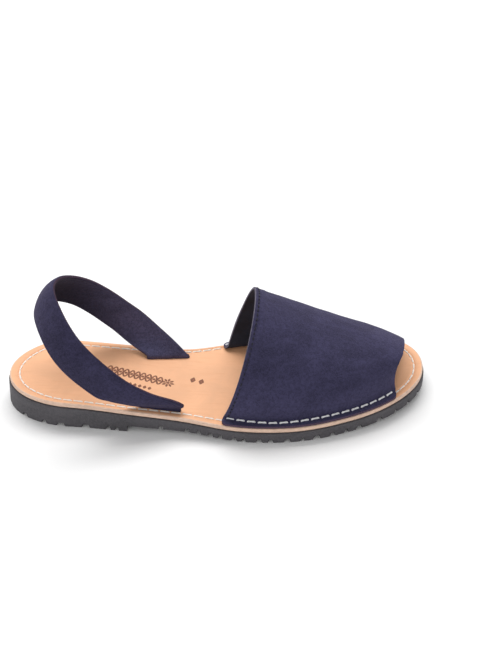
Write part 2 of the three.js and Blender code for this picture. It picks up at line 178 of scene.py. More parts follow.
# Inset of the stitch line on each side, in millimetres from the insole's edge
STITCH_LINE = table(
    "at outer inner",
    (0.00, 5.9, 5.9),
    (0.08, 4.7, 5.0),
    (0.20, 3.9, 4.3),
    (0.32, 4.1, 4.0),
    (0.45, 5.0, 2.8),
    (0.52, 5.3, 2.8),
    (0.57, 4.3, 3.0),
    (0.63, 3.3, 3.4),
    (0.70, 3.8, 3.9),
    (0.85, 4.2, 4.7),
    (1.00, 5.3, 5.3),
)

# Middle of the first stitch from the heel on the outer and the inner side, in pitches, and the share of
# an ear's reach that is stitched
FIRST_STITCH = (0.39, 0.5)
EAR_STITCHED = 0.8

# Camera of the photographed view: angles, distance and aim in millimetres, lens and sensor
VIEW_AZIMUTH = math.radians(-0.46)
VIEW_ELEVATION = math.radians(36.4)
VIEW_DISTANCE = 630.85
AIM_RIGHT, AIM_UP = 19.54, 36.09
LENS, SENSOR = 54.49, 36.0

# Floor and lights, in metres
FLOOR_REACH = 3.0
KEY_SIZE, KEY_PLACE = (1.5, 0.6), (-0.08, 0.56, 1.10)
FILL_SIZE, FILL_PLACE, FILL_AIM = (1.4, 0.5), (-0.5, -1.5, 0.7), (0, 0, 0.02)


# Curves and places of the last

def curve_through(columns, along, column):
    """A smooth curve through one column of a table, as a function of another column."""
    at, value = columns[along], columns[column]
    last = len(at) - 1
    rise = [(value[i + 1] - value[i]) / (at[i + 1] - at[i]) for i in range(last)]
    slope = [rise[0]]
    for i in range(1, last):
        before, after = at[i] - at[i - 1], at[i + 1] - at[i]
        slope.append((rise[i - 1] * after + rise[i] * before) / (before + after))
    slope.append(rise[-1])

    def curve(x):
        i = min(max(bisect_right(at, x) - 1, 0), last - 1)
        span = at[i + 1] - at[i]
        s = min(max((x - at[i]) / span, 0.0), 1.0)
        blend = s * s * (3 - 2 * s)
        ease = s * (1 - s) * span
        bend = ease * ((1 - s) * slope[i] - s * slope[i + 1])
        return value[i] + (value[i + 1] - value[i]) * blend + bend

    return curve


def curves_of(columns, along):
    return {name: curve_through(columns, along, name) for name in columns if name != along}


def lerp(a, b, share):
    return a + (b - a) * share


def smooth(low, high, x):
    """0 below low, 1 above high and an even ramp between."""
    s = min(max((x - low) / (high - low), 0.0), 1.0)
    return s * s * (3 - 2 * s)


insole_low, insole_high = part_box("insole")
SOLE_LENGTH = (insole_high[0] - insole_low[0]) / MM / (1 - 2 * BLUNT_SHARE)

plan_centre = curve_through(PLAN, "at", "centre")
plan_half = curve_through(PLAN, "at", "half")
bed_share = curve_through(BED, "at", "height")
vamp_curves = curves_of(VAMP, "along")
strap_curves = curves_of(STRAP, "place")
stitch_curves = curves_of(STITCH_LINE, "at")


def along_sole(share):
    return (share - 0.5) * SOLE_LENGTH


HEEL_BREAST = along_sole(0) + HEEL_BLOCK_LENGTH
TREAD_FROM, TREAD_TO = (along_sole(share) for share in TREAD_TOUCH)


def end_fullness(share):
    """How much of the half width is left at a share of the length: 1 away from the round ends."""
    for into, (length, power) in ((share, HEEL_END), (1 - share, TOE_END)):
        if into < length:
            return max(0.0, 1 - (1 - into / length) ** power) ** (1 / power)
    return 1.0


def plan_point(share, side):
    half = plan_half(share) * end_fullness(share)
    return Vector((along_sole(share), BALL_WIDTH * (plan_centre(share) + side * half)))


def plan_normal(share, side):
    step = 0.0015
    run = plan_point(min(1.0, share + step), side) - plan_point(max(0.0, share - step), side)
    return Vector((-run.y * side, run.x * side)).normalized()


def eased_shares(count, low=0.0, high=1.0):
    """Shares from low to high that crowd at both ends."""
    return [lerp(low, high, (1 - math.cos(math.pi * i / count)) / 2) for i in range(count + 1)]


def moved_edge(side, outward):
    """The outline moved outward, as a function from x to y on one side of the foot."""
    points = []
    for share in eased_shares(240, BLUNT_SHARE, 1 - BLUNT_SHARE):
        points.append(plan_point(share, side) + plan_normal(share, side) * outward)
    places = [point.x for point in points]

    def edge(x):
        i = min(max(bisect_right(places, x), 1), len(points) - 1)
        a, b = points[i - 1], points[i]
        return lerp(a.y, b.y, min(max((x - a.x) / (b.x - a.x), 0.0), 1.0))

    return edge


def bed_under(x):
    return HEEL_HEIGHT * bed_share(min(max(x / SOLE_LENGTH + 0.5, 0.0), 1.0))


def bed_top(x):
    return bed_under(x) + INSOLE_THICKNESS


def tread_height(x):
    if x < HEEL_BREAST or TREAD_FROM <= x < TREAD_TO:
        return 0.0
    if x < TREAD_FROM:
        return SHANK_LIFT * (TREAD_FROM - x) / (TREAD_FROM - HEEL_BREAST)
    return TOE_SPRING * ((x - TREAD_TO) / (SOLE_LENGTH / 2 - TREAD_TO)) ** 1.8


def outline_middle():
    """Middle of the insole's outline across the foot."""
    sides = [plan_point(share, side).y for share in eased_shares(400) for side in (OUTER, INNER)]
    return (min(sides) + max(sides)) / 2


# The frame's origin is under the middle of the outsole, and the last's is on its own axis
insole_middle = [(low + high) / 2 for low, high in zip(insole_low, insole_high)]
SHIFT = Vector((insole_middle[0], insole_middle[1] - outline_middle() * MM, 0))


def to_row(point):
    return Vector(point) * MM + SHIFT


class Rim:
    """One side of the sole's outline at even steps of its run, from the heel to the toe."""

    def __init__(self, side, count):
        shares = eased_shares(1600)
        points = [plan_point(share, side) for share in shares]
        runs = [0.0]
        for before, after in zip(points, points[1:]):
            runs.append(runs[-1] + (after - before).length)
        self.length = runs[-1]
        self.run = [self.length * i / count for i in range(count + 1)]
        self.points, self.normals, self.stitch = [], [], []
        column = "outer" if side == OUTER else "inner"
        for run in self.run:
            i = min(max(bisect_right(runs, run), 1), len(runs) - 1)
            share = lerp(shares[i - 1], shares[i], (run - runs[i - 1]) / (runs[i] - runs[i - 1]))
            self.points.append(plan_point(share, side))
            self.normals.append(plan_normal(share, side))
            self.stitch.append(stitch_curves[column](share))
        self.normals[0] = Vector((-1, 0))
        self.normals[-1] = Vector((1, 0))

    def at(self, i, inset=0.0):
        return self.points[i] - self.normals[i] * inset


def softly(point, size, amount, seed=0.0):
    """Smooth unevenness of a hand-made surface, in millimetres."""
    place = Vector((point[0] / size + seed, point[1] / size, point[2] / size))
    return noise.noise(place) * amount


# Meshes

def make_mesh(name, points, faces, materials, slots=None, sharp=None):
    """A mesh object from points in the last's frame, with a material slot number for each face."""
    mesh = bpy.data.meshes.new(name)
    mesh.from_pydata([to_row(point) for point in points], [], faces)
    for material in materials:
        mesh.materials.append(material)
    if slots:
        mesh.polygons.foreach_set("material_index", slots)
    mesh.polygons.foreach_set("use_smooth", [True] * len(mesh.polygons))
    mesh.validate()
    if sharp:
        mesh.set_sharp_from_angle(angle=math.radians(sharp))
    piece = bpy.data.objects.new(name, mesh)
    bpy.context.scene.collection.objects.link(piece)
    return piece


def apply_modifiers(piece):
    """Leaves the evaluated mesh in place of the piece's mesh and its modifiers."""
    evaluated = piece.evaluated_get(bpy.context.evaluated_depsgraph_get())
    mesh = bpy.data.meshes.new_from_object(evaluated)
    piece.modifiers.clear()
    piece.data = mesh


def soften_edges(piece, width, angle):
    """Rounds the edges sharper than an angle, as a cut or moulded edge is."""
    bevel = piece.modifiers.new("Softened edges", "BEVEL")
    bevel.width = width * MM
    bevel.segments = 2
    bevel.limit_method = "ANGLE"
    bevel.angle_limit = math.radians(angle)
    bevel.miter_outer = "MITER_ARC"
    apply_modifiers(piece)
    piece.data.polygons.foreach_set("use_smooth", [True] * len(piece.data.polygons))


def finish_piece(piece, slot, *nodes):
    """Rides the piece on the shoe's one body and hides the nodes it stands for. slot is not used."""
    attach(piece, "root")
    if nodes:
        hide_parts(*nodes)


def grid_normals(grid):
    """The unit normals of a grid of points, to the left of its rows as seen along its columns."""
    rows, columns = len(grid), len(grid[0])
    normals = []
    for i, row in enumerate(grid):
        line = []
        for j in range(columns):
            along = grid[min(rows - 1, i + 1)][j] - grid[max(0, i - 1)][j]
            across = row[min(columns - 1, j + 1)] - row[max(0, j - 1)]
            line.append(along.cross(across).normalized())
        normals.append(line)
    return normals


def moved_grid(grid, normals, distance):
    return [[p + n * distance for p, n in zip(row, line)] for row, line in zip(grid, normals)]


def sheet_mesh(name, outer, inner, materials):
    """A closed sheet between two grids, the first on the side of grid_normals.

    Slot 0 is the first grid's face, 1 the second's, 2 the first row's edge and the last slot the others.
    """
    edge = len(materials) - 1
    rows, columns = len(outer), len(outer[0])
    points = [p for row in outer for p in row] + [p for row in inner for p in row]
    faces, slots = [], []

    def quad(slot, *corners):
        faces.append([(face * rows + i) * columns + j for face, i, j in corners])
        slots.append(slot)

    for i in range(rows - 1):
        for j in range(columns - 1):
            quad(0, (0, i, j), (0, i + 1, j), (0, i + 1, j + 1), (0, i, j + 1))
            quad(1, (1, i, j), (1, i, j + 1), (1, i + 1, j + 1), (1, i + 1, j))
        end = columns - 1
        quad(edge, (0, i, 0), (1, i, 0), (1, i + 1, 0), (0, i + 1, 0))
        quad(edge, (0, i + 1, end), (1, i + 1, end), (1, i, end), (0, i, end))
    for j in range(columns - 1):
        end = rows - 1
        quad(2, (0, 0, j), (0, 0, j + 1), (1, 0, j + 1), (1, 0, j))
        quad(edge, (0, end, j + 1), (0, end, j), (1, end, j), (1, end, j + 1))
    return make_mesh(name, points, faces, materials, slots)


class RimMesh:
    """Builds a closed slab from rings that follow the sole's outline at chosen insets and heights."""

    def __init__(self, count):
        self.count = count
        self.rims = {side: Rim(side, count) for side in (OUTER, INNER)}
        self.points, self.faces, self.slots = [], [], []

    def places(self):
        """Side and step round the whole outline, from the heel along the outer side and back."""
        out = [(OUTER, i) for i in range(self.count + 1)]
        return out + [(INNER, i) for i in range(self.count - 1, 0, -1)]

    def add(self, point):
        self.points.append(point)
        return len(self.points) - 1

    def ring(self, inset, height):
        """A ring of points. height takes the plan point, the side and the run along the rim.

        inset is a length, or takes the outline's normal and the inset of the stitch line.
        """
        ring = []
        for side, i in self.places():
            rim = self.rims[side]
            own = inset(rim.normals[i], rim.stitch[i]) if callable(inset) else inset
            point = rim.at(i, own)
            ring.append(self.add((point.x, point.y, height(point, side, rim.run[i]))))
        return ring

    def bridge(self, ring, following, slot, down=False):
        total = len(ring)
        for k in range(total):
            n = (k + 1) % total
            face = [ring[k], ring[n], following[n], following[k]]
            self.faces.append(face[::-1] if down else face)
            self.slots.append(slot)

    def fill(self, ring, cross, height, slot, down=False):
        """Fills a ring with rows across the sole. height takes the plan point and the share across."""
        count, total = self.count, len(ring)
        rows = []
        for i in range(1, count):
            outer, inner = ring[i], ring[total - i]
            a, b = Vector(self.points[outer][:2]), Vector(self.points[inner][:2])
            row = [outer]
            for j in range(1, cross):
                point = a.lerp(b, j / cross)
                row.append(self.add((point.x, point.y, height(point, j / cross))))
            rows.append(row + [inner])

        def face(*corners):
            self.faces.append(list(corners[::-1] if down else corners))
            self.slots.append(slot)

        for j in range(cross):
            face(ring[0], rows[0][j], rows[0][j + 1])
            face(ring[count], rows[-1][j + 1], rows[-1][j])
            for before, after in zip(rows, rows[1:]):
                face(before[j], after[j], after[j + 1], before[j + 1])

    def build(self, name, materials, sharp):
        return make_mesh(name, self.points, self.faces, materials, self.slots, sharp)


# Materials

class Shader:
    """A short way to lay out a node material that works in millimetres of the object's own space."""

    def __init__(self, name):
        self.material = bpy.data.materials.new(name)
        self.material.use_nodes = True
        self.tree = self.material.node_tree
        self.surface = self.tree.nodes["Principled BSDF"]
        place = self.node("ShaderNodeTexCoord")
        scale = self.node("ShaderNodeVectorMath", operation="SCALE")
        scale.inputs["Scale"].default_value = 1 / MM
        self.link(place.outputs["Object"], scale.inputs[0])
        self.place = scale.outputs[0]

    def node(self, kind, **settings):
        node = self.tree.nodes.new(kind)
        for key, value in settings.items():
            setattr(node, key, value)
        return node

    def link(self, output, socket):
        self.tree.links.new(output, socket)

    def set(self, **values):
        """Sets the surface's own sockets, named with _ for a space."""
        for key, value in values.items():
            self.surface.inputs[key.replace("_", " ")].default_value = value

    def stretched(self, x, y, z):
        """The place with its axes scaled, for a pattern with a direction."""
        node = self.node("ShaderNodeVectorMath", operation="MULTIPLY")
        node.inputs[1].default_value = (x, y, z)
        self.link(self.place, node.inputs[0])
        return node.outputs[0]

    def noise(self, size, detail=2.0, roughness=0.5, place=None, distortion=0.0):
        """Noise with features of about a size in millimetres."""
        node = self.node("ShaderNodeTexNoise")
        node.inputs["Scale"].default_value = 1 / size
        node.inputs["Detail"].default_value = detail
        node.inputs["Roughness"].default_value = roughness
        node.inputs["Distortion"].default_value = distortion
        self.link(place or self.place, node.inputs["Vector"])
        return node.outputs["Fac"]

    def cells(self, size):
        node = self.node("ShaderNodeTexVoronoi")
        node.inputs["Scale"].default_value = 1 / size
        self.link(self.place, node.inputs["Vector"])
        return node.outputs["Distance"]

    def ramp(self, value, low, high, start=0.0, end=1.0):
        node = self.node("ShaderNodeMapRange", interpolation_type="SMOOTHSTEP")
        node.inputs["From Min"].default_value = low
        node.inputs["From Max"].default_value = high
        node.inputs["To Min"].default_value = start
        node.inputs["To Max"].default_value = end
        self.link(value, node.inputs["Value"])
        return node.outputs["Result"]

    def combine(self, operation, a, b):
        node = self.node("ShaderNodeMath", operation=operation)
        for socket, value in zip(node.inputs, (a, b)):
            if isinstance(value, (int, float)):
                socket.default_value = value
            else:
                self.link(value, socket)
        return node.outputs[0]

    def mix(self, factor, a, b):
        """A colour between two, each a colour or another node's output."""
        node = self.node("ShaderNodeMix", data_type="RGBA")
        self.link(factor, node.inputs["Factor"])
        for socket, value in ((node.inputs[6], a), (node.inputs[7], b)):
            if isinstance(value, tuple):
                socket.default_value = (*value, 1.0)
            else:
                self.link(value, socket)
        return node.outputs[2]

    def colour(self, output):
        self.link(output, self.surface.inputs["Base Color"])

    def roughness(self, output):
        self.link(output, self.surface.inputs["Roughness"])

    def bump(self, height, depth, strength, under=None):
        """A relief of a depth in millimetres, on top of the one under it."""
        node = self.node("ShaderNodeBump")
        node.inputs["Strength"].default_value = strength
        node.inputs["Distance"].default_value = depth * MM
        self.link(height, node.inputs["Height"])
        if under:
            self.link(under, node.inputs["Normal"])
        self.link(node.outputs["Normal"], self.surface.inputs["Normal"])
        return node.outputs["Normal"]


def shade(colour, factor):
    return tuple(min(1.0, channel * factor) for channel in colour)


def suede(name, colour, darker_to=None):
    """Brushed suede: soft patches where the nap lies another way, strokes of a hand and a short fuzz.

    darker_to is the x, in millimetres, up to which the heel's end of the piece gets painted shade, where
    the strap's inner face lies in shade at its bend; the painted shade fades out over a run on each side
    of it.
    """
    fade = 24
    s = Shader(name)
    patches = s.ramp(s.noise(30, 3, 0.6, distortion=1.0), 0.36, 0.64)
    strokes = s.ramp(s.noise(5.0, 4, 0.65, place=s.stretched(0.30, 0.9, 0.9)), 0.38, 0.66)
    tufts = s.ramp(s.noise(1.7, 4, 0.7), 0.40, 0.60)
    fuzz = s.noise(0.5, 3, 0.7)
    base = s.mix(patches, shade(colour, 0.70), shade(colour, 1.34))
    base = s.mix(s.combine("MULTIPLY", strokes, 0.50), base, shade(colour, 1.65))
    base = s.mix(s.combine("MULTIPLY", tufts, 0.60), base, shade(colour, 0.52))
    base = s.mix(s.ramp(fuzz, 0.34, 0.70, 0.0, 0.60), base, shade(colour, 2.0))
    # Painted shade: toward the heel the colour darkens, for the shade inside the strap's bend.
    if darker_to is not None:
        parts = s.node("ShaderNodeSeparateXYZ")
        s.link(s.place, parts.inputs[0])
        painted_shade = s.ramp(parts.outputs["X"], darker_to - fade, darker_to + fade, 0.92, 0.0)
        base = s.mix(painted_shade, base, shade(colour, 0.12))
    s.colour(base)
    s.set(Roughness=0.95, Specular_IOR_Level=0.12)
    s.set(Sheen_Weight=0.14, Sheen_Roughness=0.5, Sheen_Tint=(0.68, 0.60, 0.85, 1.0))
    coarse = s.bump(tufts, 0.20, 0.5)
    s.bump(fuzz, 0.18, 0.8, coarse)
    return s.material


def suede_cut(name, colour):
    """The cut edge of the suede, where loose fibres show."""
    s = Shader(name)
    fibres = s.noise(0.5, 4, 0.7)
    s.colour(s.mix(s.ramp(fibres, 0.3, 0.7), shade(colour, 0.6), shade(colour, 1.4)))
    s.set(Roughness=0.95, Specular_IOR_Level=0.1)
    s.bump(fibres, 0.2, 0.8)
    return s.material


def lining(name, colour):
    """Smooth dark lining leather."""
    s = Shader(name)
    pores = s.cells(0.7)
    mottle = s.noise(9, 3)
    s.colour(s.mix(s.ramp(mottle, 0.3, 0.7), shade(colour, 0.8), shade(colour, 1.3)))
    s.roughness(s.ramp(mottle, 0.2, 0.8, 0.62, 0.8))
    s.set(Specular_IOR_Level=0.3)
    s.bump(pores, 0.06, 0.5)
    return s.material


def insole_leather(name, colour):
    """Natural vegetable-tanned leather: warm mottling, faint fibre lines, pores and a low polish."""
    s = Shader(name)
    mottle = s.noise(22, 4, 0.6, distortion=0.4)
    fibres = s.noise(1.8, 3, 0.6, place=s.stretched(0.10, 1.0, 1.0))
    pores = s.cells(0.55)
    specks = s.noise(1.0, 3, 0.7)
    base = s.mix(s.ramp(mottle, 0.30, 0.72), shade(colour, 0.94), shade(colour, 1.05))
    drawn = tuple(channel * part for channel, part in zip(colour, (0.90, 0.82, 0.75)))
    base = s.mix(s.ramp(fibres, 0.48, 0.76, 0.0, 0.40), base, drawn)
    specked = tuple(channel * part for channel, part in zip(colour, (0.80, 0.64, 0.52)))
    base = s.mix(s.ramp(specks, 0.64, 0.78, 0.0, 0.35), base, specked)
    s.colour(base)
    s.roughness(s.ramp(mottle, 0.25, 0.75, 0.46, 0.60))
    s.set(Specular_IOR_Level=0.34)
    lines = s.bump(fibres, 0.06, 0.4)
    s.bump(s.ramp(pores, 0.0, 0.45), 0.05, 0.45, lines)
    return s.material


def leather_cut(name, colour):
    """The insole's cut edge: pale layered fibres with darker strands."""
    s = Shader(name)
    layers = s.noise(0.6, 3, 0.6, place=s.stretched(0.22, 0.22, 1.7))
    strands = s.noise(1.3, 3, 0.65, place=s.stretched(0.3, 0.3, 2.0))
    blotch = s.noise(7, 3)
    base = s.mix(s.ramp(layers, 0.3, 0.7), shade(colour, 0.84), shade(colour, 1.08))
    base = s.mix(s.ramp(strands, 0.56, 0.74, 0.0, 0.6), base, shade(colour, 0.5))
    s.colour(s.mix(s.ramp(blotch, 0.45, 0.75, 0.0, 0.35), base, shade(colour, 0.7)))
    s.set(Roughness=0.8, Specular_IOR_Level=0.2)
    s.bump(layers, 0.15, 0.7)
    return s.material


def moulded_rubber(name, colour):
    """Matte moulded rubber with a fine sandy face, faint flow marks and dusty scuffs."""
    s = Shader(name)
    sand = s.noise(0.5, 4, 0.7)
    grain = s.noise(1.2, 4, 0.72)
    flow = s.noise(6, 3, 0.6, place=s.stretched(0.3, 0.3, 1.0))
    dust = s.noise(2.4, 5, 0.72)
    base = s.mix(s.ramp(flow, 0.3, 0.7), shade(colour, 0.84), shade(colour, 1.16))
    base = s.mix(s.ramp(grain, 0.36, 0.66, 0.0, 0.55), base, shade(colour, 1.75))
    base = s.mix(s.ramp(dust, 0.60, 0.80, 0.0, 0.40), base, shade(colour, 2.2))
    s.colour(base)
    s.roughness(s.ramp(dust, 0.4, 0.8, 0.68, 0.86))
    s.set(Specular_IOR_Level=0.32)
    wave = s.bump(flow, 0.25, 0.4)
    s.bump(sand, 0.12, 0.7, wave)
    return s.material


def twisted_thread(name, colour):
    """Waxed thread with fine fibres."""
    s = Shader(name)
    fibres = s.noise(0.22, 3, 0.6)
    s.colour(s.mix(s.ramp(fibres, 0.3, 0.7), shade(colour, 0.92), shade(colour, 1.06)))
    s.set(Roughness=0.7, Specular_IOR_Level=0.25, Sheen_Weight=0.15)
    s.bump(fibres, 0.05, 0.5)
    return s.material


def stamped_ink(name, colour):
    """Brown print pressed in the leather, worn thin in places."""
    s = Shader(name)
    wear = s.noise(0.9, 4, 0.7)
    s.colour(s.mix(s.ramp(wear, 0.42, 0.70), colour, shade(colour, 2.2)))
    s.set(Roughness=0.6, Specular_IOR_Level=0.3)
    s.bump(wear, 0.04, 0.4)
    return s.material


def studio_floor(name, colour):
    s = Shader(name)
    s.set(Base_Color=(*colour, 1.0), Roughness=0.9, Specular_IOR_Level=0.1)
    return s.material


# Settings

def colour_setting(name, description, default):
    return bpy.props.FloatVectorProperty(
        name=name, description=description, default=default, subtype="COLOR", size=3, min=0.0, max=1.0)


def length_setting(name, description, millimetres):
    return bpy.props.FloatProperty(
        name=name, description=description, default=millimetres * MM, unit="LENGTH", min=0.0)


def power_setting(name, description, watts):
    return bpy.props.FloatProperty(
        name=name, description=description, default=watts, subtype="POWER", min=0.0)


class SandalColours(bpy.types.PropertyGroup):
    """Colours of the sandal's materials."""

    suede: colour_setting("Suede", "Navy suede of the vamp", (0.0350, 0.0325, 0.0695))
    strap: colour_setting("Strap", "Outer face of the sling strap", (0.028, 0.0255, 0.055))
    strap_inside: colour_setting("Strap inside", "Inner face of the sling strap", (0.064, 0.061, 0.116))
    lining: colour_setting("Lining", "Dark lining inside the vamp", (0.0200, 0.0260, 0.0440))
    mouth_edge: colour_setting("Mouth edge", "Cut edge of the vamp's rear mouth", (0.14, 0.13, 0.175))
    cut_edge: colour_setting("Cut edge", "Other cut edges of the suede", (0.085, 0.055, 0.085))
    insole: colour_setting("Insole", "Natural leather of the insole", (0.93, 0.500, 0.282))
    insole_edge: colour_setting("Insole edge", "Cut edge of the insole", (0.82, 0.585, 0.455))
    rubber: colour_setting("Rubber", "Moulded rubber of the outsole", (0.070, 0.066, 0.073))
    white_thread: colour_setting("White thread", "Stitches on the vamp's flange", (0.98, 0.98, 1.00))
    cream_thread: colour_setting("Cream thread", "Stitches on the insole", (0.97, 0.88, 0.80))
    navy_thread: colour_setting("Navy thread", "Hem stitches", (0.012, 0.0105, 0.024))
    stamp: colour_setting("Stamp", "Printed ornament on the insole", (0.20, 0.080, 0.045))


class StitchSizes(bpy.types.PropertyGroup):
    """Sizes of the stitching."""

    pitch: length_setting("Pitch", "From stitch to stitch round the sole", 6.4)
    insole_length: length_setting("Insole stitch", "Thread seen between two holes of the insole", 6.5)
    vamp_length: length_setting("Vamp stitch", "Thread seen between two holes of the flange", 5.8)
    insole_thread: length_setting("Insole thread", "Width of the insole's thread", 1.1)
    vamp_thread: length_setting("Vamp thread", "Width of the flange's thread", 1.2)
    slant: length_setting("Slant", "How far a stitch of the flange leans across its line", 0.35)
    hem_inset: length_setting("Hem inset", "From the vamp's rear edge to its hem stitches", 2.1)
    hem_fold: length_setting("Hem fold", "From the vamp's rear edge to the end of its turned hem", 7.5)
    hem_pitch: length_setting("Hem pitch", "From stitch to stitch along the hem", 3.05)
    hem_thread: length_setting("Hem thread", "Width of the hem's thread", 0.75)


class LeatherSizes(bpy.types.PropertyGroup):
    """Depths that hands and tools leave in the leather."""

    dish: length_setting("Dish", "How far the foot bed is worn down at its middle", 1.3)
    groove: length_setting("Groove", "Depth of the groove that the stitches lie in", 0.85)
    unevenness: length_setting("Unevenness", "How far the suede waves off its even form", 0.45)


class StageSettings(bpy.types.PropertyGroup):
    """The floor and the lights."""

    floor: colour_setting("Floor", "Plain pale floor", (1.0, 1.0, 1.0))
    key: power_setting("Key light", "Power of the overhead light", 14.0)
    fill: power_setting("Fill light", "Power of the front light", 4.6)
    sky: bpy.props.FloatProperty(
        name="Sky", description="Strength of the even light all round", default=0.49, min=0.0)


# Outsole

def slot_places(rim):
    """Runs along one side where the slots between the lugs are, with their widths."""
    total = sum(LUG_RUN)
    places, run = [], 0.0
    for i, length in enumerate(LUG_RUN[:-1]):
        run += length
        places.append((run / total * rim.length, SLOT_WIDTH * SLOT_RUN[i % len(SLOT_RUN)]))
    return places


def slot_share(run, places):
    """1 inside a slot between two lugs and 0 on a lug, with sloping walls between."""
    wall = 0.45
    deepest = 0.0
    for place, width in places:
        off = abs(run - place)
        if off < width:
            deepest = max(deepest, 1 - smooth(width / 2 - wall / 2, width / 2 + wall, off))
    return deepest


def bar_share(point, half_width):
    """1 inside a groove of the chevron tread and 0 on a bar."""
    margin = LUG_REACH + SLOT_WIDTH
    first = along_sole(0) + margin + BAR_PITCH
    x = point.x - half_width * math.tan(BAR_SLOPE)
    nearest = first + round((x - first) / BAR_PITCH) * BAR_PITCH
    last = along_sole(1) - margin - BAR_PITCH
    if not first - 1 < nearest < last or abs(nearest - HEEL_BREAST) < BAR_PITCH:
        return 0.0
    return 1 - smooth(SLOT_WIDTH / 2 - 0.25, SLOT_WIDTH / 2 + 0.3, abs(x - nearest))


class SANDAL_OT_outsole(bpy.types.Operator):
    """Model the rubber outsole with its rim, lugs, heel step and chevron tread"""

    bl_idname = "sandal.outsole"
    bl_label = "Outsole"

    def execute(self, context):
        colours = context.scene.sandal_colours
        slab = RimMesh(820)
        slots = {side: slot_places(rim) for side, rim in slab.rims.items()}

        def tread(point, deepest):
            worn = softly((point.x, point.y, 0), 5.0, 0.22)
            return tread_height(point.x) + deepest * (LUG_DEPTH + worn)

        def lug(point, side, run):
            return tread(point, slot_share(run, slots[side]))

        def top(point, side, run):
            return bed_under(point.x) - SEAT_GAP

        def between(share):
            return lambda point, side, run: lerp(top(point, side, run), lug(point, side, run), share)

        def under(drop):
            return lambda point, side, run: top(point, side, run) - drop

        def above(rise):
            return lambda point, side, run: lug(point, side, run) + rise

        def side_wall(share, inward=0.0):
            """Inset of the side wall at a share of the way down, where the ends flare out."""
            def inset(normal, stitch):
                flare = HEEL_FLARE if normal.x < 0 else TOE_FLARE
                foot = SOLE_RIM - SIDE_TAPER + flare * normal.x ** 2
                return inward - lerp(SOLE_RIM, foot, share)
            return inset

        inner_top = slab.ring(2.0, top)
        slab.fill(inner_top, 6, lambda point, share: bed_under(point.x) - SEAT_GAP, 0)
        rings = [inner_top]
        for inward, drop in ((0.45, 0.0), (0.12, 0.15), (0.0, 0.5)):
            rings.append(slab.ring(inward - SOLE_RIM, under(drop)))
        for share in (0.18, 0.36, 0.54, 0.72, 0.88):
            rings.append(slab.ring(side_wall(share), between(share)))
        for inward, rise in ((0.0, 0.35), (0.1, 0.1), (0.4, 0.0)):
            rings.append(slab.ring(side_wall(1.0, inward), above(rise)))
        for inset in (2.5, 5.5, LUG_REACH - 1.2):
            rings.append(slab.ring(inset, above(0.0)))
        plain = slab.ring(LUG_REACH - 0.6, lambda point, side, run: tread(point, 0.0))
        rings.append(plain)
        for upper, lower in zip(rings, rings[1:]):
            slab.bridge(upper, lower, 0, down=True)

        outer_edge = moved_edge(OUTER, -LUG_REACH - SLOT_WIDTH)
        inner_edge = moved_edge(INNER, -LUG_REACH - SLOT_WIDTH)

        def chevrons(point, share):
            centre = (outer_edge(point.x) + inner_edge(point.x)) / 2
            off = abs(point.y - centre)
            room = (inner_edge(point.x) - outer_edge(point.x)) / 2 - off
            return tread(point, bar_share(point, off) * smooth(-0.4, 0.4, room))

        slab.fill(plain, 46, chevrons, 0, down=True)
        sole = slab.build("Rubber_outsole", [moulded_rubber("Moulded rubber", tuple(colours.rubber))], 48)
        finish_piece(sole, "rubber", "outsole")
        return {"FINISHED"}


# Insole

def bed_dish(point, share, depth):
    """How far the foot bed lies below its even top, at a share of the way across.

    Half of the depth is reached just inside the stitch groove, and the rest toward the middle.
    """
    level_end, ramp = 11, 26
    from_end = SOLE_LENGTH / 2 - abs(point[0]) - level_end
    return 0.5 * depth * (1 + smooth(-0.1, 1.1, 4 * share * (1 - share)) * smooth(0, ramp, from_end))


def slit_prism(place):
    """A cutter for the slit where one end of the strap goes down."""
    lower, level, _, length = strap_edge(place)
    radius = STRAP_THICKNESS / 2 + SLIT_CLEARANCE
    away = Vector((-level.y, level.x, 0))
    steps = 10
    outline = []
    for centre, start in ((length + SLIT_CLEARANCE - radius, -0.5), (radius - SLIT_CLEARANCE, 0.5)):
        for i in range(steps + 1):
            turn = math.pi * (start + i / steps)
            point = lower + level * (centre + radius * math.cos(turn)) + away * radius * math.sin(turn)
            outline.append((point.x, point.y))
    count = len(outline)
    points = [(x, y, z) for z in (0.0, HEEL_HEIGHT * 2) for x, y in outline]
    faces = [list(range(count))[::-1], list(range(count, 2 * count))]
    faces += [[i, (i + 1) % count, count + (i + 1) % count, count + i] for i in range(count)]
    return make_mesh("Slit cutter", points, faces, [])


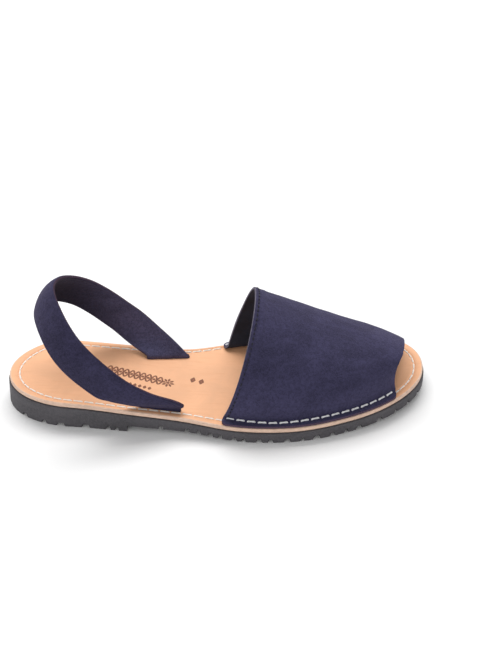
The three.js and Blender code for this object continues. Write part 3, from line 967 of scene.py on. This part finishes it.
class SANDAL_OT_insole(bpy.types.Operator):
    """Model the leather insole with its stitch groove, worn foot bed, cut edge and two slits"""

    bl_idname = "sandal.insole"
    bl_label = "Insole"

    def execute(self, context):
        colours = context.scene.sandal_colours
        sizes = context.scene.sandal_leather
        groove, dish = sizes.groove / MM, sizes.dish / MM
        board = RimMesh(400)

        def top(drop):
            return lambda point, side, run: bed_top(point.x) - drop

        def bottom(rise):
            return lambda point, side, run: bed_under(point.x) + rise

        def bed(point, share):
            return bed_top(point.x) - bed_dish(point, share, dish)

        def off_stitches(off):
            return lambda normal, stitch: stitch + off

        edge_dish = dish / 2
        profile = [(5.0, edge_dish), (3.2, 0.92 * edge_dish), (2.1, 0.70 * edge_dish),
                   (1.45, 0.50 * edge_dish), (1.1, 0.36 * edge_dish + 0.25 * groove),
                   (0.75, 0.75 * groove), (0.35, groove), (-0.25, groove), (-0.65, 0.78 * groove),
                   (-1.0, 0.30 * groove), (-1.3, 0.05)]
        rings = [board.ring(off_stitches(off), top(drop)) for off, drop in profile]
        rim = [(1.3, 0.0), (0.8, 0.03), (0.4, 0.14), (0.12, 0.34), (0.0, 0.6)]
        rings += [board.ring(inset, top(drop)) for inset, drop in rim]
        board.fill(rings[0], 34, bed, 0)
        for i, (outward, inward) in enumerate(zip(rings[1:], rings)):
            board.bridge(outward, inward, 1 if i > len(profile) else 0)
        edge = [rings[-1], board.ring(0.0, top(0.9)), board.ring(0.02, bottom(0.9)),
                board.ring(0.0, bottom(0.3)), board.ring(0.2, bottom(0.0))]
        for upper, lower in zip(edge, edge[1:]):
            board.bridge(lower, upper, 1)
        inner_under = board.ring(8.0, bottom(0.0))
        board.bridge(inner_under, edge[-1], 0)
        board.fill(inner_under, 4, lambda point, share: bed_under(point.x), 0, down=True)
        materials = [insole_leather("Insole leather", tuple(colours.insole)),
                     leather_cut("Insole cut edge", tuple(colours.insole_edge))]
        insole = board.build("Leather_insole", materials, 60)
        for place in (0.0, 1.0):
            cutter = slit_prism(place)
            cut = insole.modifiers.new("Slit", "BOOLEAN")
            cut.operation = "DIFFERENCE"
            cut.solver = "EXACT"
            cut.object = cutter
            apply_modifiers(insole)
            bpy.data.objects.remove(cutter)
        finish_piece(insole, "tan_leather", "insole")
        return {"FINISHED"}


# Vamp

FLANGE_EDGES = [moved_edge(side, -FLANGE_INSET) for side in (OUTER, INNER)]
FOLD_EDGES = [moved_edge(side, -FOLD_INSET) for side in (OUTER, INNER)]


def flange_top(x):
    return bed_top(x) + SEAT_GAP + VAMP_THICKNESS


def vamp_flange(which, foot, ear, rounding, steps):
    """The flange and its fold at one foot of a section, from the sole's rim to the foot of the arch.

    ear is how far back the rim is drawn there, and rounding how far in for a round corner.
    """
    outward = (OUTER, INNER)[which]
    count = steps["flange"] + steps["fold"]
    run = []
    for i in range(count):
        x = foot - ear * math.sqrt(1 - (i / count) ** 2)
        bend = FOLD_EDGES[which](x) + outward * FOLD_RADIUS
        if i < steps["flange"]:
            rim = FLANGE_EDGES[which](x) - outward * rounding
            run.append(Vector((x, lerp(rim, bend, i / steps["flange"]), flange_top(x))))
        else:
            turn = math.pi / 2 * (i - steps["flange"]) / steps["fold"]
            y = bend - outward * FOLD_RADIUS * math.sin(turn)
            run.append(Vector((x, y, flange_top(x) + FOLD_RADIUS * (1 - math.cos(turn)))))
    return run


def vamp_section(along, steps):
    """One section of the vamp's outer face, from its outer flange over the foot to its inner flange."""
    row = {name: curve(along) for name, curve in vamp_curves.items()}
    feet = [along_sole(row["outer"]), along_sole(row["inner"])]
    from_rear = feet[0] - along_sole(VAMP["outer"][0])
    to_toe = along_sole(VAMP["outer"][-1]) - feet[0]
    fade = max(0.0, 1 - from_rear / EAR_RUN) ** 2
    short = max(0.0, FLANGE_CORNER - min(from_rear, to_toe))
    rounding = FLANGE_CORNER - math.sqrt(FLANGE_CORNER ** 2 - short ** 2)
    fold = [edge(foot) for edge, foot in zip(FOLD_EDGES, feet)]
    share_of = [i / steps["arch"] for i in range(steps["arch"] + 1)]
    arch = [vamp_arch_point(row, feet, fold, share) for share in share_of]
    outer, inner = [vamp_flange(which, feet[which], EAR_REACH[which] * fade, rounding, steps)
                    for which in (0, 1)]
    return outer + arch + inner[::-1]


def vamp_arch_point(row, feet, fold, share):
    """A point of the vamp's arch over the foot, at a share of the way from its outer to its inner foot."""
    crest = BALL_WIDTH * row["crest"]
    turn = math.pi * share
    which = 0 if share < 0.5 else 1
    full = row["full_inner"] if which else row["full_outer"]
    out = abs(math.cos(turn)) ** (2 / full)
    up = max(0.0, math.sin(turn)) ** (2 / full)
    belly = BALL_WIDTH * (row["belly_inner"] if which else -row["belly_outer"])
    y = crest + (fold[which] - crest) * out + belly * math.sin(math.pi * up ** 0.8)
    x = lerp(feet[0], feet[1], share)
    lean = lerp(row["lean_outer"], row["lean_inner"], share)
    rise = (VAMP_HEIGHT * row["height"] - FOLD_RADIUS - VAMP_THICKNESS) * up
    return Vector((x + lean * rise, y, flange_top(x) + FOLD_RADIUS + rise))


def vamp_rows():
    """Shares along the vamp, closer at its two mouths."""
    ends = [0.0, 0.004, 0.010, 0.018, 0.027]
    middle = [lerp(0.036, 0.964, i / 88) for i in range(89)]
    return ends + middle + [1 - share for share in ends[::-1]]


def along_runs(grid):
    """Distance along each column of a grid from its first row."""
    runs = [[0.0] * len(grid[0])]
    for before, after in zip(grid, grid[1:]):
        runs.append([run + (b - a).length for run, a, b in zip(runs[-1], before, after)])
    return runs


def hem_relief(from_edge, side_run, inset, fold, pitch):
    """The doubled hem stands up a little, and its stitches pull a puckered line into it."""
    rise, ridge_rise, pull = 0.15, 0.13, 0.50
    doubled = rise * (1 - smooth(fold - 0.7, fold + 0.9, from_edge))
    ridge = ridge_rise * math.exp(-((from_edge - fold + 0.8) / 0.8) ** 2)
    line = math.exp(-((from_edge - inset) / 0.75) ** 2)
    pucker = 0.55 + 0.45 * math.cos(side_run * math.tau / pitch)
    return doubled + ridge - pull * line * pucker


class SANDAL_OT_vamp(bpy.types.Operator):
    """Model the suede vamp with its stitched-down flange, hem and two mouths"""

    bl_idname = "sandal.vamp"
    bl_label = "Vamp"

    def execute(self, context):
        colours = context.scene.sandal_colours
        sizes = context.scene.sandal_leather
        stitches = context.scene.sandal_stitches
        hem = [size / MM for size in (stitches.hem_inset, stitches.hem_fold, stitches.hem_pitch)]
        wave = sizes.unevenness / MM
        steps = {"flange": 7, "fold": 5, "arch": 130}
        even = [vamp_section(share, steps) for share in vamp_rows()]
        normals = grid_normals(even)
        runs = along_runs(even)
        flat_columns, fade_columns = steps["flange"], 14
        columns = len(even[0])
        outer = []
        for i, row in enumerate(even):
            side_run, line = 0.0, []
            for j, point in enumerate(row):
                if j:
                    side_run += (point - row[j - 1]).length
                from_flange = min(j, columns - 1 - j)
                free = smooth(flat_columns, flat_columns + fade_columns, from_flange)
                relief = softly(point, 24, wave, 3.0) + softly(point, 9, wave * 0.35, 11.0)
                relief += hem_relief(runs[i][j], side_run, *hem)
                line.append(point + normals[i][j] * relief * free)
            outer.append(line)
        inner = moved_grid(even, normals, -VAMP_THICKNESS)
        materials = [suede("Navy suede", tuple(colours.suede)),
                     lining("Vamp lining", tuple(colours.lining)),
                     suede_cut("Suede mouth edge", tuple(colours.mouth_edge)),
                     suede_cut("Suede cut edge", tuple(colours.cut_edge))]
        vamp = sheet_mesh("Suede_vamp", outer, inner, materials)
        soften_edges(vamp, 0.4, 55)
        finish_piece(vamp, "navy_suede", "vamp")
        return {"FINISHED"}


# Sling strap

def strap_edge(place):
    """The strap's lower edge, its level and tilted directions across and its length across."""
    x = -STRAP_REACH * strap_curves["back"](place)
    tilt = math.radians(strap_curves["tilt"](place))
    turn = math.radians(strap_curves["turn"](place))
    height = bed_top(x) + STRAP_RISE * strap_curves["up"](place)
    lower = Vector((x, STRAP_SPREAD * strap_curves["side"](place), height))
    level = Vector((math.cos(turn), math.sin(turn), 0))
    across = level * math.cos(tilt) + Vector((0, 0, math.sin(tilt)))
    return lower, level, across, STRAP_WIDTH * strap_curves["cut"](place)


def strap_row(place, shares):
    step = 0.004
    lower, _, across, length = strap_edge(place)
    along = strap_edge(min(1, place + step))[0] - strap_edge(max(0, place - step))[0]
    outward = across.cross(along).normalized()
    bow = STRAP_WIDTH * strap_curves["bow"](place)
    return [lower + across * length * share + outward * bow * 4 * share * (1 - share)
            for share in shares]


def strap_end(place, shares, height):
    """A level row of the strap in its slit. height takes x."""
    lower, level, _, length = strap_edge(place)
    points = [lower + level * length * share for share in shares]
    return [Vector((point.x, point.y, height(point.x))) for point in points]


def strap_grid(shares, count):
    """Points of the strap's middle surface, from the outer slit round the heel to the inner slit."""
    def in_slit(x):
        return (bed_under(x) + bed_top(x)) / 2

    heights = (bed_under, in_slit, bed_top)
    grid = [strap_end(0, shares, height) for height in heights]
    grid += [strap_row(i / count, shares) for i in range(2, count - 1)]
    return grid + [strap_end(1, shares, height) for height in heights[::-1]]


def strap_relief(share, width):
    """Thickness of the doubled strap across its width: rounded edges and a line pressed beside each."""
    line_inset, line_depth, edge_drop = 2.1, 0.16, 0.55
    from_edge = min(share, 1 - share) * width
    pressed = line_depth * math.exp(-((from_edge - line_inset) / 0.5) ** 2)
    return -pressed - edge_drop * (1 - smooth(0.0, 0.9, from_edge))


class SANDAL_OT_strap(bpy.types.Operator):
    """Model the sling strap: a doubled suede band from slit to slit round the heel"""

    bl_idname = "sandal.strap"
    bl_label = "Sling strap"

    def execute(self, context):
        colours = context.scene.sandal_colours
        wave = context.scene.sandal_leather.unevenness / MM
        edge = [0.0, 0.012, 0.03, 0.055, 0.08, 0.1, 0.12, 0.15]
        middle = [lerp(0.2, 0.8, i / 12) for i in range(13)]
        shares = edge + middle + [1 - share for share in edge[::-1]]
        grid = strap_grid(shares, 240)
        normals = [[-normal for normal in line] for line in grid_normals(grid)]
        half = STRAP_THICKNESS / 2
        outer, inner = [], []
        last = len(grid) - 1
        for i, (row, line) in enumerate(zip(grid, normals)):
            free = smooth(4, 30, min(i, last - i))
            outer_row, inner_row = [], []
            for share, point, normal in zip(shares, row, line):
                relief = strap_relief(share, STRAP_WIDTH)
                bend = softly(point, 16, wave * 0.8, 21.0) * free
                outer_row.append(point + normal * (half + relief + bend))
                inner_row.append(point - normal * (half + relief * 0.8 - bend))
            outer.append(outer_row)
            inner.append(inner_row)
        # The strap's inner face is painted darker toward the heel bend, as shade, up to x = -72 mm.
        materials = [suede("Strap inside", tuple(colours.strap_inside), darker_to=-72),
                     suede("Strap suede", tuple(colours.strap)),
                     suede_cut("Strap edge", shade(tuple(colours.cut_edge), 0.8))]
        strap = sheet_mesh("Suede_sling_strap", inner, outer, materials)
        soften_edges(strap, 0.3, 60)
        finish_piece(strap, "navy_suede", "sling_strap")
        return {"FINISHED"}


# Stitching

class StitchMesh:
    """Collects stitches, each a short length of twisted thread that dives into a hole at both ends."""

    def __init__(self, radius):
        self.radius = radius
        self.points, self.faces = [], []

    def add(self, start, end, start_up, end_up, sink):
        """One stitch between two holes, on a surface whose normals there are given."""
        rings, sides = 11, 10
        ply, twist, flatness = 0.14, 1.6, 0.8
        run = end - start
        first = len(self.points)
        for i in range(rings):
            share = i / (rings - 1)
            up = start_up.lerp(end_up, share).normalized()
            along = run.normalized()
            across = up.cross(along).normalized()
            crown = 1 - (2 * share - 1) ** 8
            centre = start.lerp(end, share) + up * (self.radius * 0.62 * crown - sink * (1 - crown))
            radius = self.radius * (0.45 + 0.55 * crown ** 0.5)
            for k in range(sides):
                turn = math.tau * k / sides
                thick = radius * (1 + ply * math.cos(2 * turn - share * math.tau * twist))
                rise = math.sin(turn) * thick * flatness
                self.points.append(centre + across * math.cos(turn) * thick + up * rise)
        for i in range(rings - 1):
            for k in range(sides):
                a, b = first + i * sides + k, first + i * sides + (k + 1) % sides
                self.faces.append([a, a + sides, b + sides, b])
        last = first + (rings - 1) * sides
        self.faces.append(list(range(first, first + sides)))
        self.faces.append(list(range(last, last + sides))[::-1])

    def build(self, name, material):
        return make_mesh(name, self.points, self.faces, [material], sharp=70)


def stitch_place(rim, run, lean):
    """The place on one side's stitch line at a run from the heel, moved across it."""
    step = rim.length / (len(rim.points) - 1)
    i = min(max(int(run / step), 0), len(rim.points) - 2)
    before = rim.at(i, rim.stitch[i] + lean)
    after = rim.at(i + 1, rim.stitch[i + 1] + lean)
    return before.lerp(after, run / step - i)


class SANDAL_OT_sole_stitches(bpy.types.Operator):
    """Stitch round the sole: cream thread in the insole's groove and white thread on the vamp's flange"""

    bl_idname = "sandal.sole_stitches"
    bl_label = "Sole stitches"

    def execute(self, context):
        colours = context.scene.sandal_colours
        sizes = context.scene.sandal_stitches
        groove = context.scene.sandal_leather.groove / MM
        insole_half, vamp_half = sizes.insole_length / MM / 2, sizes.vamp_length / MM / 2
        insole_stitches = StitchMesh(sizes.insole_thread / MM / 2)
        vamp_stitches = StitchMesh(sizes.vamp_thread / MM / 2)
        pitch, slant = sizes.pitch / MM, sizes.slant / MM
        up = Vector((0, 0, 1))
        for side, column, ear, first in zip((OUTER, INNER), ("outer", "inner"), EAR_REACH, FIRST_STITCH):
            rim = Rim(side, 900)
            vamp_from = along_sole(VAMP[column][0]) - EAR_STITCHED * ear
            vamp_to = along_sole(VAMP[column][-1])
            count = round(rim.length / pitch)
            for i in range(count):
                middle = max(i + first, 0.5) * rim.length / count
                on_vamp = vamp_from < stitch_place(rim, middle, 0.0).x < vamp_to
                half = vamp_half if on_vamp else insole_half
                places = []
                for sign in (-1, 1):
                    place = stitch_place(rim, middle + sign * half, sign * slant / 2 if on_vamp else 0.0)
                    if on_vamp:
                        place.x = min(max(place.x, vamp_from + 0.4), vamp_to - 0.4)
                    lift = SEAT_GAP + VAMP_THICKNESS if on_vamp else -groove
                    places.append(Vector((place.x, place.y, bed_top(place.x) + lift)))
                stitches = vamp_stitches if on_vamp else insole_stitches
                stitches.add(*places, up, up, stitches.radius * 1.3)
        cream = twisted_thread("Cream thread", tuple(colours.cream_thread))
        white = twisted_thread("White thread", tuple(colours.white_thread))
        finish_piece(insole_stitches.build("Insole_stitches", cream), "tan_leather")
        finish_piece(vamp_stitches.build("Vamp_stitches", white), "tan_leather")
        return {"FINISHED"}


class SANDAL_OT_hem_stitches(bpy.types.Operator):
    """Stitch the vamp's rear hem in navy thread"""

    bl_idname = "sandal.hem_stitches"
    bl_label = "Hem stitches"

    def execute(self, context):
        colours = context.scene.sandal_colours
        sizes = context.scene.sandal_stitches
        inset, pitch = sizes.hem_inset / MM, sizes.hem_pitch / MM
        stitches = StitchMesh(sizes.hem_thread / MM / 2)
        steps = {"flange": 1, "fold": 2, "arch": 240}
        rows = [vamp_section(share, steps) for share in (0.0, 0.012, 0.024, 0.036, 0.048, 0.06)]
        normals = grid_normals(rows)
        runs = along_runs(rows)
        line, ups = [], []
        for j in range(3, len(rows[0]) - 3):
            i = next(k for k in range(1, len(rows)) if runs[k][j] > inset)
            share = (inset - runs[i - 1][j]) / (runs[i][j] - runs[i - 1][j])
            line.append(rows[i - 1][j].lerp(rows[i][j], share))
            ups.append(normals[i][j])
        run, target = 0.0, pitch
        start, start_up = line[0], ups[0]
        for before, point, up in zip(line, line[1:], ups[1:]):
            run += (point - before).length
            if run >= target:
                gap = (point - start) * 0.18
                stitches.add(start + gap, point - gap, start_up, up, stitches.radius)
                start, start_up = point, up
                target += pitch
        piece = stitches.build("Hem_stitches", twisted_thread("Navy thread", tuple(colours.navy_thread)))
        finish_piece(piece, "navy_suede")
        return {"FINISHED"}


# Printed ornament

class InlayMesh:
    """Collects thin closed strips pressed in the foot bed, laid out on a turned plan of their own."""

    def __init__(self, middle, turn, height):
        self.middle, self.spin, self.height = middle, Matrix.Rotation(turn, 2), height
        self.points, self.faces = [], []

    def strip(self, stations):
        """A strip through pairs of a left and a right point."""
        first = len(self.points)
        for left, right in stations:
            for point, rise in ((left, 0.05), (right, 0.05), (right, -0.25), (left, -0.25)):
                place = self.middle + self.spin @ Vector(point)
                self.points.append((place.x, place.y, self.height(place) + rise))
        for i in range(len(stations) - 1):
            a = first + 4 * i
            for k in range(4):
                n = (k + 1) % 4
                self.faces.append([a + k, a + n, a + 4 + n, a + 4 + k])
        end = first + 4 * (len(stations) - 1)
        self.faces += [[first + 3, first + 2, first + 1, first], [end, end + 1, end + 2, end + 3]]

    def line(self, centres, width):
        """A strip of one width along a row of points."""
        stations = []
        for i, centre in enumerate(centres):
            run = Vector(centres[min(len(centres) - 1, i + 1)]) - Vector(centres[max(0, i - 1)])
            side = Vector((-run.y, run.x)).normalized() * width / 2
            stations.append((Vector(centre) + side, Vector(centre) - side))
        self.strip(stations)

    def blade(self, centre, length, width, turn=0.0, full=1.0):
        """A lozenge at 1, fuller and rounder above, along a direction."""
        along = Vector((math.cos(turn), math.sin(turn)))
        across = Vector((-along.y, along.x))
        stations = []
        for i in range(9):
            share = math.cos(math.pi * i / 8)
            half = width / 2 * max(0.04, (1 - abs(share) ** full) ** (1 / full))
            middle = Vector(centre) - along * share * length / 2
            stations.append((middle + across * half, middle - across * half))
        self.strip(stations)


class SANDAL_OT_ornament(bpy.types.Operator):
    """Press a plain brown plait with dots and a rosette in the insole"""

    bl_idname = "sandal.ornament"
    bl_label = "Pressed ornament"

    def execute(self, context):
        colours = context.scene.sandal_colours
        dish = context.scene.sandal_leather.dish / MM
        outer_edge, inner_edge = moved_edge(OUTER, -8.9), moved_edge(INNER, -8.9)

        def height(place):
            share = (place.y - outer_edge(place.x)) / (inner_edge(place.x) - outer_edge(place.x))
            return bed_top(place.x) - bed_dish(place, share, dish)

        inlay = InlayMesh(Vector((-50.0, -0.5)), math.radians(-15), height)
        pitch, swing, length, strand, plait_at = 7.2, 3.4, 36.0, 1.1, -1.5
        for phase in (0.0, math.pi):
            places = [-length / 2 + length * i / 90 for i in range(91)]
            waves = [(x + plait_at, swing * math.sin(math.tau * x / pitch + phase)) for x in places]
            inlay.line(waves, strand)
        dot = 2.0
        for i in range(-5, 5):
            inlay.blade(((i + 0.5) * pitch / 2 + plait_at, 0.0), dot, dot, full=2.0)
        rosette_at, petals, petal_reach = 20.0, 8, 2.6
        for i in range(petals):
            turn = math.tau * i / petals
            centre = (rosette_at + petal_reach * math.cos(turn), petal_reach * math.sin(turn))
            inlay.blade(centre, 2.9, 1.5, turn, 1.5)
        inlay.blade((rosette_at, 0.0), dot, dot, full=2.0)
        for i in range(5):
            inlay.blade((-1.0 + 3.1 * i, -9.2), 2.3, 3.0, full=1.3)
        for i in range(2):
            inlay.blade((33.4 + 5.4 * i, 8.2), 3.4, 5.4, full=1.2)
        stamp = make_mesh("Pressed_ornament", inlay.points, inlay.faces,
                          [stamped_ink("Stamp ink", tuple(colours.stamp))], sharp=40)
        finish_piece(stamp, "tan_leather")
        return {"FINISHED"}


# Stage

def view_axes(azimuth, elevation):
    """Right, up and back of a camera that looks at the shoe from an azimuth and elevation."""
    back = Vector((math.sin(azimuth) * math.cos(elevation), -math.cos(azimuth) * math.cos(elevation),
                   math.sin(elevation)))
    right = Vector((math.cos(azimuth), math.sin(azimuth), 0))
    return right, back.cross(right), back


def placed(name, data, location, rotation=None, target=None):
    thing = bpy.data.objects.new(name, data)
    bpy.context.scene.collection.objects.link(thing)
    thing.location = location
    if target is not None:
        rotation = (Vector(location) - Vector(target)).to_track_quat("Z", "Y").to_euler()
    if rotation is not None:
        thing.rotation_euler = rotation
    return thing


def area_light(name, power, size, location, target):
    light = bpy.data.lights.new(name, "AREA")
    light.energy = power
    light.shape = "RECTANGLE"
    light.size, light.size_y = size
    return placed(name, light, location, target=target)


class SANDAL_OT_stage(bpy.types.Operator):
    """Set the pale floor, the soft lights and the camera at the photographed angle"""

    bl_idname = "sandal.stage"
    bl_label = "Stage"

    def execute(self, context):
        settings = context.scene.sandal_stage
        right, up, back = view_axes(VIEW_AZIMUTH, VIEW_ELEVATION)
        eye = to_row(right * AIM_RIGHT + up * AIM_UP + back * VIEW_DISTANCE)
        camera = bpy.data.cameras.new("Camera")
        camera.sensor_width = SENSOR
        camera.lens = LENS
        camera.clip_start, camera.clip_end = 0.01, 20
        turned = Matrix((right, up, back)).transposed()
        context.scene.camera = placed("Camera", camera, eye, rotation=turned.to_euler())

        floor = bpy.data.meshes.new("Floor")
        corners = [(x * FLOOR_REACH, y * FLOOR_REACH, 0) for x, y in ((-1, -1), (1, -1), (1, 1), (-1, 1))]
        floor.from_pydata(corners, [], [[0, 1, 2, 3]])
        floor.materials.append(studio_floor("Pale floor", tuple(settings.floor)))
        placed("Floor", floor, (0, 0, 0))

        area_light("Key light", settings.key, KEY_SIZE, KEY_PLACE, (0, 0, 0))
        area_light("Fill light", settings.fill, FILL_SIZE, FILL_PLACE, FILL_AIM)
        world = bpy.data.worlds.new("Studio")
        world.use_nodes = True
        world.node_tree.nodes["Background"].inputs["Strength"].default_value = settings.sky
        world.node_tree.nodes["Background"].inputs["Color"].default_value = (1, 1, 1, 1)
        context.scene.world = world
        context.scene.view_settings.view_transform = "Standard"
        return {"FINISHED"}


class SANDAL_PT_panel(bpy.types.Panel):
    """Lists the sandal's settings and steps"""

    bl_idname = "SANDAL_PT_panel"
    bl_label = "Sandal"
    bl_space_type = "VIEW_3D"
    bl_region_type = "UI"
    bl_category = "Sandal"

    def draw(self, context):
        for group in (context.scene.sandal_colours, context.scene.sandal_stitches,
                      context.scene.sandal_leather, context.scene.sandal_stage):
            box = self.layout.box()
            for name in group.__annotations__:
                box.prop(group, name)
        for step in STEPS:
            self.layout.operator(step.bl_idname)


STEPS = (SANDAL_OT_stage, SANDAL_OT_outsole, SANDAL_OT_insole, SANDAL_OT_vamp, SANDAL_OT_strap,
         SANDAL_OT_sole_stitches, SANDAL_OT_hem_stitches, SANDAL_OT_ornament)
GROUPS = {"sandal_colours": SandalColours, "sandal_stitches": StitchSizes, "sandal_leather": LeatherSizes,
          "sandal_stage": StageSettings}


def register():
    for group in GROUPS.values():
        bpy.utils.register_class(group)
    for name, group in GROUPS.items():
        setattr(bpy.types.Scene, name, bpy.props.PointerProperty(type=group))
    for step in (*STEPS, SANDAL_PT_panel):
        bpy.utils.register_class(step)


def unregister():
    for step in (SANDAL_PT_panel, *STEPS[::-1]):
        bpy.utils.unregister_class(step)
    for name, group in GROUPS.items():
        delattr(bpy.types.Scene, name)
        bpy.utils.unregister_class(group)


def main():
    register()
    bpy.ops.sandal.stage()
    bpy.ops.sandal.outsole()
    bpy.ops.sandal.insole()
    bpy.ops.sandal.vamp()
    bpy.ops.sandal.strap()
    bpy.ops.sandal.sole_stitches()
    bpy.ops.sandal.hem_stitches()
    bpy.ops.sandal.ornament()
    bpy.context.view_layer.update()


if __name__ == "__main__":
    main()
